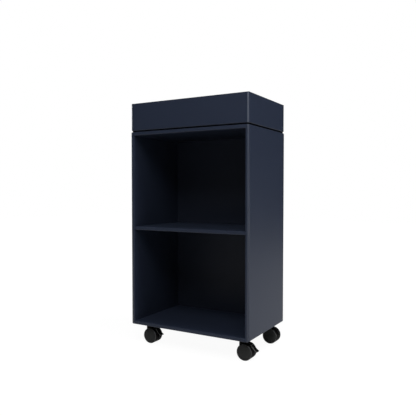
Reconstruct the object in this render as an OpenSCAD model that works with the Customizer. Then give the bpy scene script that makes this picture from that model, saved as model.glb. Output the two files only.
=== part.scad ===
// Rolling shelf unit: an open lacquered cabinet with one shelf, a low open box on top of it
// over a dark shadow gap, and four twin-wheel casters, the front two with a brake pedal.
// The origin is on the floor under the middle of the cabinet, +Z up, with the open front facing -Y.

/* [Cabinet] */
// Width over the two side boards
body_w = 468; // [340:1:900]
// Depth from front to back
body_d = 300; // [260:1:460]
// Height without the casters and the top box
body_h = 696; // [450:1:1200]
// Thickness of the side, top and bottom boards
board_t = 12; // [11:0.5:18]
// Radius of the four long edges where the boards meet
edge_r = 5; // [1:0.5:7]
// Radius of the small rounding along the front and rear of every board
arris_r = 0.8; // [0.4:0.1:1.5]

/* [Back board] */
// Thickness of the back board
back_t = 8; // [5:0.5:12]
// Distance of the back board from the rear edges of the cabinet
back_recess = 7; // [4:1:25]
// Depth of the back board's edge in its grooves
back_tongue = 5; // [3:0.5:7]

/* [Shelf] */
// Height of the shelf's underside over the cabinet's underside
shelf_rise = 344; // [120:1:400]
// Thickness of the shelf
shelf_t = 12; // [11:0.5:18]
// Distance of the shelf's front edge behind the front of the cabinet
shelf_setback = 3.5; // [0:0.5:20]
// Diameter of the four shelf pins
pin_d = 5; // [4:0.5:6]
// Length of a shelf pin
pin_len = 15; // [12:1:18]
// Distance of the pins from the front and rear edges of the shelf
pin_inset = 38; // [25:1:80]

/* [Mitre joints] */
// Thickness of the hidden feathers that lock the mitred corners
feather_t = 3; // [2:0.5:3]
// Width of a feather across the joint
feather_w = 7; // [5:0.5:8]
// Distance of a feather's ends from the ends of its joint
feather_stop = 16; // [10:1:30]
// Distance of a feather from the inner corner, along the joint
feather_in = 7; // [6.5:0.5:7.5]

/* [Top box] */
// Height of the box walls
box_h = 97; // [60:1:200]
// Distance of the box walls inside the faces of the cabinet
box_inset = 1; // [0:0.5:3]
// Thickness of the box walls
box_wall_t = 12; // [11:0.5:16]
// Radius of the box's upright corners
box_edge_r = 0.8; // [0.6:0.1:3]
// Thickness of the box floor
floor_t = 9; // [6:0.5:12]
// Depth of the rebate that holds the box floor
floor_rebate = 6; // [4:0.5:8]
// Height of the shadow gap under the box
gap_h = 5; // [4:0.5:10]
// Distance of the spacer behind the faces of the box
gap_recess = 2.5; // [1:0.5:20]

/* [Box screws] */
// Distance of the box screws from the sides of the cabinet
box_screw_side = 79; // [60:1:120]
// Distance of the box screws from the front and back of the cabinet
box_screw_end = 63; // [50:1:90]
// Diameter of the screw shanks
screw_d = 4; // [3:0.5:5]
// Diameter of the caps over the screw heads
cap_d = 11; // [9.5:0.5:16]

/* [Liner] */
// Wall of the lift-out liner
liner_t = 2; // [1.5:0.5:3]
// Gap between the liner's rim and the box walls
liner_play = 1; // [0.5:0.5:3]
// Distance of the liner's rim below the top of the box
liner_drop = 6; // [2:1:20]
// Width of the liner's flat rim
rim_w = 9; // [6:0.5:14]
// Depth of the lip that turns down at the rim's edge
lip_h = 5; // [4:0.5:10]
// Corner radius at the edge of the liner's rim
liner_corner_r = 24; // [20:1:40]
// Slope of the liner's walls, from top to bottom
liner_draft = 1.5; // [0:0.5:4]
// Fillet between the liner's walls and its bottom
liner_fillet = 6; // [4:0.5:8]

/* [Casters] */
// Height from the floor to the cabinet's underside
caster_h = 70; // [66:0.5:76]
// Distance of the swivel axes from the cabinet's faces
caster_inset = 44; // [38:1:60]
// Distance of the axle behind the swivel axis
trail = 17; // [15:0.5:20]
// Diameter of the wheels
wheel_d = 55; // [50:1:56]
// Width over both wheels
wheels_w = 41; // [36:1:48]
// Gap between the two wheels
wheel_gap = 9; // [8:0.5:11]
// Rounding of a wheel's outer shoulder
shoulder_r = 2.6; // [1.5:0.1:3.5]
// Number of ribs inside a wheel
wheel_ribs = 6; // [4:1:10]
// Diameter of the axle
axle_d = 6; // [5:0.5:8]
// Diameter of the kingpin
kingpin_d = 8; // [7:0.5:9]
// Width of the mounting plate
plate_w = 40; // [38:1:50]
// Thickness of the mounting plate
plate_t = 2.5; // [2:0.5:4]
// Distance between the plate's screw holes
plate_holes = 30; // [29:0.5:32]

/* [Hood and brake] */
// Space between the wheels and the hood over them
hood_gap = 2.1; // [1.8:0.1:3]
// Wall of the hood and of the brake pedal
hood_t = 2; // [1.6:0.1:2.6]
// Width of the hood over the wheels
hood_w = 16; // [13:0.5:20]
// Diameter of the neck that turns on the kingpin
neck_d = 18.5; // [16:0.5:19.5]
// Thickness of the web between the wheels
web_t = 7; // [6:0.5:7.5]
// Width of the brake pedal
pedal_w = 19; // [16:0.5:22]
// Radius of the curve that sweeps the pedal out from the hood
pedal_sweep_r = 55; // [45:1:70]
// Angle of that curve
pedal_sweep = 21.5; // [16:0.5:24]
// Depth of the walls along the pedal's sides and tip
pedal_side = 2.6; // [2.2:0.1:2.8]
// Number of grip ribs on the pedal
pedal_ribs = 6; // [3:1:8]
// Diameter of the pin that the pedal turns on
brake_pin_d = 3; // [2.5:0.5:3.5]

/* [Hidden] */
$fn = 64;

// Colours
navy = [0.16, 0.18, 0.24];
black = [0.07, 0.07, 0.08];
steel = [0.62, 0.63, 0.65];
birch = [0.78, 0.66, 0.48];

// Clearances
seat = 0.1; // between wooden pieces that seat in each other
fit = 0.02; // around a pin or shank that is held fast
run = 0.05; // around a pin or shaft that turns
apart = 0.3; // between faces that move past each other
over = 1; // how far a cutting shape runs past the piece that it cuts

// Cabinet
inner_w = body_w - 2 * board_t;
inner_h = body_h - 2 * board_t;
body_z = caster_h;
body_top = body_z + body_h;
back_face = body_d / 2 - back_recess - back_t;
shelf_z = body_z + shelf_rise;
shelf_front = -body_d / 2 + shelf_setback;
shelf_d = back_face - seat - shelf_front;
pin_z = shelf_z + pin_d / 2 + 0.5;
pin_ys = [shelf_front + pin_inset, shelf_front + shelf_d - pin_inset];

// Top box
box_w = body_w - 2 * box_inset;
box_d = body_d - 2 * box_inset;
box_z = body_top + gap_h;
box_top = box_z + box_h;
box_screw_x = body_w / 2 - box_screw_side;
box_screw_y = body_d / 2 - box_screw_end;
screw_head_h = 2.4;
screw_head_d = 2 * screw_d;
screw_bite = floor_t - 1.5;
screw_len = board_t + gap_h + screw_bite;
cap_h = 1.4;
cap_bevel = 0.5;

// Liner
liner_w = box_w - 2 * box_wall_t - 2 * liner_play;
liner_d = box_d - 2 * box_wall_t - 2 * liner_play;
liner_z = box_z + floor_t;
liner_h = box_top - liner_drop - liner_z;
rim_bevel = 0.8;
bend_steps = 6; // flats in a quarter of the liner's fillet

// Caster, seen along +Y with the swivel axis at x = 0 and the floor at z = 0
wheel_r = wheel_d / 2;
wheel_w = (wheels_w - wheel_gap) / 2;
hood_in_r = wheel_r + hood_gap;
hood_r = hood_in_r + hood_t;
boss_h = 1.2;
hood_top = caster_h - plate_t - boss_h - apart;
neck_r = neck_d / 2;
neck_low = wheel_r + 8; // where the neck is lost in the web
flange_r = neck_r + 2.5;
flange_h = 1.8;
rivet_d = kingpin_d - 2;
plate_corner_r = 4;
well_roof = wheel_r + sqrt(pow(hood_in_r, 2) - pow(trail - kingpin_d / 2, 2));
kingpin_end = well_roof + 1;
ring_t = 1;
ring_z = kingpin_end + 2.6;
ring_in_r = kingpin_d / 2 - 0.7;
ring_out_r = kingpin_d / 2 + 1;
ring_mouth = 2;
plate_screw_head_d = 7.2;
plate_screw_head_h = 2.2;
plate_screw_bite = board_t - 3;
hub_r = axle_d / 2 + 3.5;
hub_proud = (wheel_gap - web_t) / 2 - apart;
boss_r = hub_r + 2;
cap_wall = 2.6;
rim_t = 3.4;
rim_r = wheel_r - rim_t;
wheel_rib_t = 1.6;
wheel_rib_in = 1.5; // from the wheel's inner face to its ribs
tread_bevel = 0.85;
groove_w = 0.6; // of the fine groove round the disc
groove_deep = 0.35;
axle_play = 0.4; // from the axle's end to the closed end of its bore
axle_end = wheels_w / 2 - cap_wall - axle_play;

// Brake, in angles round the axle, counted up from +X
hood_low_a = 16; // where a hood without a pedal ends
hood_brake_a = 52; // where a hood with a pedal ends
hood_high_a = 138;
hood_mid_r = hood_in_r + hood_t / 2;
web_r = wheel_r - 0.5; // of the web's part that shows between the wheels
web_low_lap = 2; // how far the web's roof stays behind the hood's lower end
web_high_lap = 8; // and behind its upper end
cheek_a = 30; // where the web's cheeks beside the pedal's lug end
cheek_lap = 10;
root_z = 13; // height over the axle at which the neck's root begins
root_in = 3; // how far it stays inside the neck
root_low = at_angle(boss_r - 1.5, 230); // where it meets the boss
pedal_high_a = 50.5;
pedal_bend_a = 37;
pedal_back_a = pedal_bend_a + 180;
pivot_r = 23.5;
pivot_a = 58;
pivot = [pivot_r * cos(pivot_a), pivot_r * sin(pivot_a)];
lug_t = 3;
lug_r = 3.6;
lug_high_a = pivot_a + 20;
lug_low_a = pivot_a - 110;
slot_t = lug_t + 2 * apart;
slot_low_a = -20;
pedal_wall_t = 1.6; // of the walls along the pedal's sides
pedal_rib = 1; // width of a grip rib, half of which stands out
sweep_centre = (hood_r + pedal_sweep_r) * [cos(pedal_bend_a), sin(pedal_bend_a)];

// Corners of a point list in two or three dimensions
corners = [[-1, -1], [1, -1], [1, 1], [-1, 1]];

function at_angle(r, a) = [r * cos(a), r * sin(a)];

// Flat shapes

// A rectangle centred on the origin with round corners
module round_rect(w, h, r) {
    square([w - 2 * r, h], center = true);
    square([w, h - 2 * r], center = true);
    for (c = corners)
        translate([c[0] * (w / 2 - r), c[1] * (h / 2 - r)])
            circle(r = r);
}

// The part of a circle of radius r between two angles less than 180 degrees apart
module pie(r, a0, a1) {
    far = 2 * r;
    mid = (a0 + a1) / 2;
    intersection() {
        circle(r = r);
        polygon([[0, 0], at_angle(far, a0), at_angle(far, mid), at_angle(far, a1)]);
    }
}

// The part of a ring between two angles
module ring_sector(r_in, r_out, a0, a1) {
    difference() {
        pie(r_out, a0, a1);
        circle(r = r_in);
    }
}

// Extrusion of a flat XZ shape along Y, centred on y = 0
module along_y(len) {
    rotate([90, 0, 0])
        linear_extrude(height = len, center = true)
            children();
}

// Extrusion of a flat YZ shape along X, centred on x = 0
module along_x(len) {
    rotate([90, 0, 90])
        linear_extrude(height = len, center = true)
            children();
}

// One board of a four-sided mitred frame: w and h are the frame's outer sizes, t its boards,
// r its outer corners, and side turns from 0 to 3, anticlockwise from the bottom
module mitred_outline(w, h, t, r, side) {
    flip = side % 2 == 1;
    a = (flip ? h : w) / 2;
    b = (flip ? w : h) / 2;
    intersection() {
        round_rect(w, h, r);
        rotate(90 * side)
            polygon([[-a, -b], [a, -b], [a - t, t - b], [t - a, t - b]]);
    }
}

// Cabinet

// The middle of the cabinet's height, where its boards are drawn from
module at_body() {
    translate([0, 0, body_z + body_h / 2])
        children();
}

// Loose feathers, or the slots for them when play is more than 0, at the corners of a w by h frame
// that is t thick, running along the joint for len
module feathers(w, h, t, len, play) {
    reach = t - feather_in / sqrt(2);
    for (c = corners)
        translate([c[0] * (w / 2 - reach), c[1] * (h / 2 - reach), 0])
            rotate(-45 * c[0] * c[1])
                cube([feather_w + 2 * play, feather_t + play, len + 2 * play], center = true);
}

module cabinet_feather_set(play) {
    at_body()
        rotate([90, 0, 0])
            feathers(body_w, body_h, board_t, body_d - 2 * feather_stop - 2 * back_recess, play);
}

// The groove for the back board, cut from all four boards at once
module back_groove() {
    at_body()
        translate([0, back_face + back_t / 2, 0])
            cube([
                inner_w + 2 * back_tongue + 2 * seat,
                back_t + 2 * seat,
                inner_h + 2 * back_tongue + 2 * seat
            ], center = true);
}

// A board of the cabinet: 0 bottom, 1 right, 2 top, 3 left
module cabinet_board(side) {
    upright = side % 2 == 1;
    difference() {
        at_body()
            intersection() {
                along_y(body_d)
                    mitred_outline(body_w, body_h, board_t, edge_r, side);
                if (upright)
                    translate([(side - 2) * -(body_w - board_t) / 2, 0, 0])
                        linear_extrude(height = body_h + over, center = true)
                            round_rect(board_t, body_d, arris_r);
                else
                    translate([0, 0, (side - 1) * (body_h - board_t) / 2])
                        along_x(body_w + over)
                            round_rect(body_d, board_t, arris_r);
            }
        back_groove();
        cabinet_feather_set(seat);
    }
}

module pin_holes() {
    for (y = pin_ys)
        translate([0, y, pin_z])
            rotate([0, 90, 0])
                cylinder(d = pin_d + 2 * fit, h = inner_w + pin_len + 2 * seat, center = true);
}

module left_side_board() {
    color(navy)
        difference() {
            cabinet_board(3);
            pin_holes();
        }
}

module right_side_board() {
    color(navy)
        difference() {
            cabinet_board(1);
            pin_holes();
        }
}

module at_box_screws() {
    for (c = corners)
        translate([c[0] * box_screw_x, c[1] * box_screw_y, body_top - board_t])
            children();
}

module top_board() {
    color(navy)
        difference() {
            cabinet_board(2);
            at_box_screws() {
                translate([0, 0, -over])
                    cylinder(d = screw_d + 2 * seat, h = board_t + 2 * over);
                cylinder(d1 = screw_head_d + 2 * seat, d2 = screw_d + 2 * seat, h = screw_head_h);
            }
        }
}

module bottom_board() {
    color(navy)
        difference() {
            cabinet_board(0);
            for (c = corners)
                at_caster(c[0], c[1])
                    at_plate_screws()
                        cylinder(d = screw_d + 2 * fit, h = plate_t + plate_screw_bite + seat);
        }
}

module back_board() {
    color(navy)
        at_body()
            translate([0, back_face + back_t / 2, 0])
                cube([inner_w + 2 * back_tongue, back_t, inner_h + 2 * back_tongue], center = true);
}

// The shelf drops over its pins, which its blind slots hide
module middle_shelf() {
    slot_len = pin_len + 2 * seat;
    slot_w = pin_d + 2 * run;
    slot_h = pin_z - shelf_z + over;
    color(navy)
        difference() {
            translate([0, shelf_front + shelf_d / 2, shelf_z + shelf_t / 2])
                along_x(inner_w - 2 * seat)
                    round_rect(shelf_d, shelf_t, arris_r);
            at_shelf_pins() {
                rotate([0, 90, 0])
                    cylinder(d = slot_w, h = slot_len, center = true);
                translate([0, 0, -slot_h / 2])
                    cube([slot_len, slot_w, slot_h], center = true);
            }
        }
}

module at_shelf_pins() {
    for (x = [-1, 1])
        for (y = pin_ys)
            translate([x * inner_w / 2, y, pin_z])
                children();
}

module shelf_pins() {
    color(steel)
        at_shelf_pins()
            rotate([0, 90, 0])
                cylinder(d = pin_d, h = pin_len, center = true);
}

module cabinet_feathers() {
    color(birch)
        cabinet_feather_set(0);
}

// Top box

module box_feather_set(play) {
    translate([0, 0, box_z + box_h / 2])
        feathers(box_w, box_d, box_wall_t, box_h - 2 * feather_stop, play);
}

// A wall of the box: 0 front, 1 right, 2 back, 3 left
module box_wall(side) {
    across = side % 2 == 1;
    rebate_w = 2 * floor_rebate - 2 * box_wall_t;
    difference() {
        translate([0, 0, box_z + box_h / 2])
            intersection() {
                linear_extrude(height = box_h, center = true)
                    mitred_outline(box_w, box_d, box_wall_t, box_edge_r, side);
                if (across)
                    translate([(2 - side) * (box_w - box_wall_t) / 2, 0, 0])
                        along_y(box_d + over)
                            round_rect(box_wall_t, box_h, arris_r);
                else
                    translate([0, (side - 1) * (box_d - box_wall_t) / 2, 0])
                        along_x(box_w + over)
                            round_rect(box_wall_t, box_h, arris_r);
            }
        translate([0, 0, box_z - over])
            linear_extrude(height = floor_t + over)
                square([box_w + rebate_w, box_d + rebate_w], center = true);
        box_feather_set(seat);
    }
}

module box_front_wall() {
    color(navy)
        box_wall(0);
}

module box_right_wall() {
    color(navy)
        box_wall(1);
}

module box_back_wall() {
    color(navy)
        box_wall(2);
}

module box_left_wall() {
    color(navy)
        box_wall(3);
}

module box_floor() {
    reach = 2 * box_wall_t - 2 * floor_rebate + 2 * seat;
    color(navy)
        difference() {
            translate([0, 0, box_z])
                linear_extrude(height = floor_t)
                    square([box_w - reach, box_d - reach], center = true);
            at_box_screws()
                cylinder(d = screw_d + 2 * fit, h = screw_len + seat);
        }
}

module box_spacer() {
    color(black)
        difference() {
            translate([0, 0, body_top])
                linear_extrude(height = gap_h)
                    square([box_w - 2 * gap_recess, box_d - 2 * gap_recess], center = true);
            at_box_screws()
                cylinder(d = screw_d + 2 * seat, h = screw_len);
        }
}

module box_feathers() {
    color(birch)
        box_feather_set(0);
}

module box_screws() {
    color(steel)
        at_box_screws() {
            cylinder(d = screw_d, h = screw_len);
            cylinder(d1 = screw_head_d, d2 = screw_d, h = screw_head_h);
        }
}

module screw_caps() {
    color(black)
        at_box_screws()
            translate([0, 0, -cap_h]) {
                cylinder(d1 = cap_d - 2 * cap_bevel, d2 = cap_d, h = cap_bevel);
                translate([0, 0, cap_bevel])
                    cylinder(d = cap_d, h = cap_h - cap_bevel);
            }
}

// Lift-out liner

// Points of a quarter circle round c from angle a0 to a1
function arc_points(c, r, a0, a1) =
    [for (i = [0:bend_steps]) c + at_angle(r, a0 + (a1 - a0) * i / bend_steps)];

// Section of the liner from its corner's centre out to the rim
module liner_profile() {
    top_r = liner_corner_r - rim_w;
    foot_r = top_r - liner_draft;
    bend = [foot_r - liner_fillet, liner_fillet];
    edge = liner_corner_r;
    polygon(concat(
        [[0, 0]],
        arc_points(bend, liner_fillet, 270, 360),
        [[top_r, liner_h - liner_t], [edge - liner_t, liner_h - liner_t], [edge - liner_t, liner_h - lip_h]],
        [[edge, liner_h - lip_h], [edge, liner_h - rim_bevel], [edge - rim_bevel, liner_h]],
        [[top_r - liner_t, liner_h]],
        arc_points(bend, liner_fillet - liner_t, 360, 270),
        [[0, liner_t]]
    ));
}

module box_liner() {
    flat_w = liner_w - 2 * liner_corner_r;
    flat_d = liner_d - 2 * liner_corner_r;
    color(black)
        translate([0, 0, liner_z]) {
            for (side = [0:3]) {
                odd = side % 2 == 1;
                rotate(90 * side)
                    translate([(odd ? flat_d : flat_w) / 2, (odd ? flat_w : flat_d) / 2, 0])
                        rotate_extrude(angle = 90)
                            liner_profile();
                rotate(90 * side)
                    translate([(odd ? flat_d : flat_w) / 2, 0, 0])
                        along_y(odd ? flat_w : flat_d)
                            liner_profile();
            }
            linear_extrude(height = liner_t)
                square([flat_w, flat_d], center = true);
        }
}

// Casters

// Puts a caster's pieces at one corner: side is -1 left or 1 right, end is -1 front or 1 rear
module at_caster(side, end) {
    translate([side * (body_w / 2 - caster_inset), end * (body_d / 2 - caster_inset), 0])
        children();
}

module at_plate_screws() {
    for (c = corners)
        translate([c[0] * plate_holes / 2, c[1] * plate_holes / 2, caster_h - plate_t])
            children();
}

module at_axle() {
    translate([trail, 0, wheel_r])
        children();
}

// A flat shape in the plane of the wheels, round the axle
module in_wheel_plane(thick) {
    at_axle()
        along_y(thick)
            children();
}

// The steel plate under the cabinet, with the raised ring that the hood turns against
module caster_plate() {
    color(steel)
        difference() {
            union() {
                translate([0, 0, caster_h - plate_t])
                    linear_extrude(height = plate_t)
                        round_rect(plate_w, plate_w, plate_corner_r);
                translate([0, 0, caster_h - plate_t - boss_h])
                    cylinder(r = flange_r, h = boss_h + plate_t / 2);
            }
            translate([0, 0, caster_h - plate_t - boss_h - over])
                cylinder(d = rivet_d + 2 * fit, h = plate_t + boss_h + 2 * over);
            at_plate_screws()
                translate([0, 0, -over])
                    cylinder(d = screw_d + 2 * seat, h = plate_t + 2 * over);
        }
}

module plate_screws() {
    color(steel)
        at_plate_screws() {
            cylinder(d = screw_d, h = plate_t + plate_screw_bite);
            translate([0, 0, -plate_screw_head_h / 2])
                cylinder(d = plate_screw_head_d, h = plate_screw_head_h / 2);
            translate([0, 0, -plate_screw_head_h])
                cylinder(d1 = plate_screw_head_d - 2, d2 = plate_screw_head_d, h = plate_screw_head_h / 2);
        }
}

// The pin that the hood swivels on, riveted through the plate and grooved for the snap ring
module kingpin() {
    shoulder_z = caster_h - plate_t - boss_h;
    color(steel)
        difference() {
            union() {
                translate([0, 0, kingpin_end])
                    cylinder(d = kingpin_d, h = shoulder_z - kingpin_end);
                translate([0, 0, shoulder_z])
                    cylinder(d = rivet_d, h = caster_h - shoulder_z);
            }
            translate([0, 0, ring_z - run])
                difference() {
                    cylinder(d = kingpin_d + over, h = ring_t + 2 * run);
                    translate([0, 0, -over])
                        cylinder(r = ring_in_r - run, h = ring_t + 2 * over);
                }
        }
}

// The open spring ring that keeps the hood on the kingpin
module snap_ring() {
    color(steel)
        translate([0, 0, ring_z])
            linear_extrude(height = ring_t)
                difference() {
                    circle(r = ring_out_r);
                    circle(r = ring_in_r);
                    translate([ring_in_r, 0])
                        square([2 * ring_out_r - ring_in_r, ring_mouth], center = true);
                }
}

// The moulded hood: a neck round the kingpin, a mudguard over the wheels and a web that holds the axle
module hood(braked) {
    low_a = braked ? hood_brake_a : hood_low_a;
    color(black)
        difference() {
            union() {
                difference() {
                    union() {
                        translate([0, 0, neck_low])
                            cylinder(r = neck_r, h = hood_top - neck_low);
                        translate([0, 0, hood_top - flange_h])
                            cylinder(r = flange_r, h = flange_h);
                        translate([0, 0, hood_top - 2 * flange_h])
                            cylinder(r1 = neck_r, r2 = flange_r, h = flange_h);
                        in_wheel_plane(hood_w)
                            pie(hood_r, low_a, hood_high_a);
                    }
                    in_wheel_plane(2 * wheels_w)
                        circle(r = hood_in_r);
                }
                in_wheel_plane(web_t)
                    web_outline(low_a, braked);
                if (braked)
                    for (s = [-1, 1])
                        translate([0, s * (web_t + slot_t) / 4, 0])
                            in_wheel_plane((web_t - slot_t) / 2)
                                pie(web_r, cheek_a, 90);
            }
            translate([0, 0, kingpin_end - apart])
                cylinder(d = kingpin_d + 2 * run, h = hood_top);
            translate([0, 0, ring_z - apart])
                cylinder(r = ring_out_r + apart, h = ring_t + 2 * apart);
            in_wheel_plane(2 * web_t)
                circle(d = axle_d + 2 * fit);
            if (braked)
                in_wheel_plane(2 * web_t)
                    translate(pivot)
                        circle(d = brake_pin_d + 2 * fit);
        }
}

// The web in the plane of the wheels: the roof over them, the boss round the axle and the neck's
// root, with a slot for the pedal's lug where there is a brake
module web_outline(low_a, braked) {
    root = [root_in - trail - neck_r, root_z];
    difference() {
        union() {
            circle(r = boss_r);
            pie(hood_mid_r, low_a + web_low_lap, hood_high_a - web_high_lap);
            if (braked)
                pie(web_r, cheek_a, low_a + cheek_lap);
            intersection() {
                circle(r = hood_mid_r);
                polygon([root, [root[0], hood_mid_r], [0, hood_mid_r], [0, 0], root_low]);
            }
        }
        if (braked)
            lug_slot();
    }
}

// Room in the web for the pedal's lug and its swing
module lug_slot() {
    far = hood_r + over;
    translate(pivot)
        circle(r = lug_r + apart);
    polygon([
        pivot + at_angle(lug_r, pivot_a + 90),
        at_angle(far, hood_brake_a + 6),
        at_angle(far, cheek_a - 10),
        at_angle(far, slot_low_a),
        pivot + at_angle(lug_r, pivot_a + 180)
    ]);
}

// The pedal: it carries on the line of the hood, then sweeps out to its tip, with walls along
// its sides and tip and grip ribs across its top
module brake_pedal() {
    color(black)
        difference() {
            union() {
                in_wheel_plane(pedal_w) {
                    ring_sector(hood_in_r, hood_r, pedal_bend_a, pedal_high_a);
                    pedal_sweep_out(hood_t);
                    translate(sweep_centre)
                        rotate(pedal_back_a + pedal_sweep)
                            translate([pedal_sweep_r + pedal_side / 2, 0])
                                circle(d = pedal_side);
                }
                for (s = [-1, 1])
                    translate([0, s * (pedal_w - pedal_wall_t) / 2, 0])
                        in_wheel_plane(pedal_wall_t)
                            difference() {
                                pedal_sweep_out(pedal_side);
                                circle(r = hood_in_r);
                            }
                in_wheel_plane(lug_t) {
                    lug_outline();
                    stiffener_outline();
                }
                in_wheel_plane(pedal_w - 2 * pedal_wall_t)
                    translate(sweep_centre)
                        for (i = [1:pedal_ribs])
                            rotate(pedal_back_a + pedal_sweep * i / (pedal_ribs + 0.6))
                                translate([pedal_sweep_r, 0])
                                    square([pedal_rib, pedal_rib], center = true);
            }
            in_wheel_plane(2 * web_t)
                translate(pivot)
                    circle(d = brake_pin_d + 2 * run);
        }
}

// The part that sweeps out, so thick below its top
module pedal_sweep_out(thick) {
    translate(sweep_centre)
        ring_sector(pedal_sweep_r, pedal_sweep_r + thick, pedal_back_a, pedal_back_a + pedal_sweep);
}

// The lug that carries the pedal on its pin
module lug_outline() {
    translate(pivot)
        circle(r = lug_r);
    intersection() {
        circle(r = hood_mid_r);
        polygon([
            pivot + at_angle(lug_r, lug_high_a),
            at_angle(hood_in_r - apart, pedal_high_a),
            at_angle(hood_r, pedal_high_a - 1),
            at_angle(hood_r, pedal_bend_a + 1),
            pivot + at_angle(lug_r, lug_low_a)
        ]);
    }
}

// The rib under the pedal, from the lug out towards the tip
module stiffener_outline() {
    skin_r = pedal_sweep_r + hood_t / 2;
    difference() {
        polygon([
            pivot + at_angle(lug_r, lug_low_a),
            at_angle(hood_mid_r, pedal_bend_a + 6),
            sweep_centre + at_angle(skin_r, pedal_back_a + pedal_sweep * 0.75),
            at_angle(hood_in_r - 4, pedal_bend_a - 8)
        ]);
        translate(sweep_centre)
            circle(r = skin_r);
    }
}

module brake_pin() {
    color(steel)
        in_wheel_plane(web_t)
            translate(pivot)
                circle(d = brake_pin_d);
}

module axle() {
    color(steel)
        at_axle()
            rotate([90, 0, 0])
                cylinder(d = axle_d, h = 2 * axle_end, center = true);
}

// Section of a wheel from its axis out to the tread: 0 is the inner face, wheel_w the outer face
module wheel_profile() {
    difference() {
        union() {
            square([wheel_r - shoulder_r, wheel_w]);
            square([wheel_r, wheel_w - shoulder_r]);
            translate([wheel_r - shoulder_r, wheel_w - shoulder_r])
                circle(r = shoulder_r);
            translate([0, -hub_proud])
                square([hub_r, wheel_w]);
        }
        translate([hub_r, -over])
            square([rim_r - hub_r, wheel_w - cap_wall + over]);
        translate([0, -over])
            square([axle_d / 2 + run, axle_end + axle_play - wheel_gap / 2 + over]);
        translate([wheel_r, 0])
            rotate(45)
                square(tread_bevel * sqrt(2), center = true);
        translate([wheel_r - shoulder_r - groove_w, wheel_w])
            square([groove_w, 2 * groove_deep], center = true);
    }
}

// One wheel, its outer face turned to the front for end -1 or to the back for end 1
module wheel(end) {
    color(black)
        at_axle()
            translate([0, end * wheel_gap / 2, 0])
                rotate([-90 * end, 0, 0]) {
                    rotate_extrude()
                        wheel_profile();
                    for (i = [0:wheel_ribs - 1])
                        rotate(360 * i / wheel_ribs)
                            wheel_rib();
                }
}

// A rib between the wheel's hub and its rim, sunk a little into both
module wheel_rib() {
    sunk = 0.5;
    translate([hub_r - sunk, -wheel_rib_t / 2, wheel_rib_in])
        cube([rim_r - hub_r + 2 * sunk, wheel_rib_t, wheel_w - cap_wall - wheel_rib_in + sunk]);
}

left_side_board();
right_side_board();
top_board();
bottom_board();
back_board();
middle_shelf();
shelf_pins();
cabinet_feathers();
box_front_wall();
box_back_wall();
box_left_wall();
box_right_wall();
box_floor();
box_spacer();
box_feathers();
box_screws();
screw_caps();
box_liner();
at_caster(-1, -1) caster_plate();  // front_left_plate
at_caster(-1, -1) plate_screws();  // front_left_plate_screws
at_caster(-1, -1) kingpin();  // front_left_kingpin
at_caster(-1, -1) snap_ring();  // front_left_snap_ring
at_caster(-1, -1) hood(true);  // front_left_hood
at_caster(-1, -1) axle();  // front_left_axle
at_caster(-1, -1) wheel(-1);  // front_left_wheel_front
at_caster(-1, -1) wheel(1);  // front_left_wheel_back
at_caster(-1, -1) brake_pedal();  // front_left_brake_pedal
at_caster(-1, -1) brake_pin();  // front_left_brake_pin
at_caster(1, -1) caster_plate();  // front_right_plate
at_caster(1, -1) plate_screws();  // front_right_plate_screws
at_caster(1, -1) kingpin();  // front_right_kingpin
at_caster(1, -1) snap_ring();  // front_right_snap_ring
at_caster(1, -1) hood(true);  // front_right_hood
at_caster(1, -1) axle();  // front_right_axle
at_caster(1, -1) wheel(-1);  // front_right_wheel_front
at_caster(1, -1) wheel(1);  // front_right_wheel_back
at_caster(1, -1) brake_pedal();  // front_right_brake_pedal
at_caster(1, -1) brake_pin();  // front_right_brake_pin
at_caster(-1, 1) caster_plate();  // rear_left_plate
at_caster(-1, 1) plate_screws();  // rear_left_plate_screws
at_caster(-1, 1) kingpin();  // rear_left_kingpin
at_caster(-1, 1) snap_ring();  // rear_left_snap_ring
at_caster(-1, 1) hood(false);  // rear_left_hood
at_caster(-1, 1) axle();  // rear_left_axle
at_caster(-1, 1) wheel(-1);  // rear_left_wheel_front
at_caster(-1, 1) wheel(1);  // rear_left_wheel_back
at_caster(1, 1) caster_plate();  // rear_right_plate
at_caster(1, 1) plate_screws();  // rear_right_plate_screws
at_caster(1, 1) kingpin();  // rear_right_kingpin
at_caster(1, 1) snap_ring();  // rear_right_snap_ring
at_caster(1, 1) hood(false);  // rear_right_hood
at_caster(1, 1) axle();  // rear_right_axle
at_caster(1, 1) wheel(-1);  // rear_right_wheel_front
at_caster(1, 1) wheel(1);  // rear_right_wheel_back
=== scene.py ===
"""A rolling shelf unit in dark navy lacquer: its finishes, casters and screws, and the studio round it."""
import math

import bmesh
import bpy
from mathutils import Matrix, Vector


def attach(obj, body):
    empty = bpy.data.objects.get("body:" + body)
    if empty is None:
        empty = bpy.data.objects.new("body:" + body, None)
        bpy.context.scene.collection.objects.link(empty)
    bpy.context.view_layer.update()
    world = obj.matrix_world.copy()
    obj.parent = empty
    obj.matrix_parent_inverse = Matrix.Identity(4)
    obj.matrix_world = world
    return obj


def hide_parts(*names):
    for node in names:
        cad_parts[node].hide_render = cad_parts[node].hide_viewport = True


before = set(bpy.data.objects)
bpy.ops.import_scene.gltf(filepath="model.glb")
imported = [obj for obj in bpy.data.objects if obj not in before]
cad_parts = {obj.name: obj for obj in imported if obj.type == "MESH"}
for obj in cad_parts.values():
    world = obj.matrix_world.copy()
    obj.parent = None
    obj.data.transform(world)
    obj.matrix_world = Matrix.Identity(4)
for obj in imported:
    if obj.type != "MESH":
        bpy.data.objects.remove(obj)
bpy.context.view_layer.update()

# Sizes and places are in metres, and colours are linear

# The camera, as solved from the photograph, with its lens and sensor in millimetres
CAMERA_PLACE = (0.9069, -1.5771, 0.5572)
CAMERA_TILT = math.radians(87.96)
CAMERA_TURN = math.radians(29.93)
CAMERA_LENS = 43.07
CAMERA_SENSOR = 36

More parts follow.
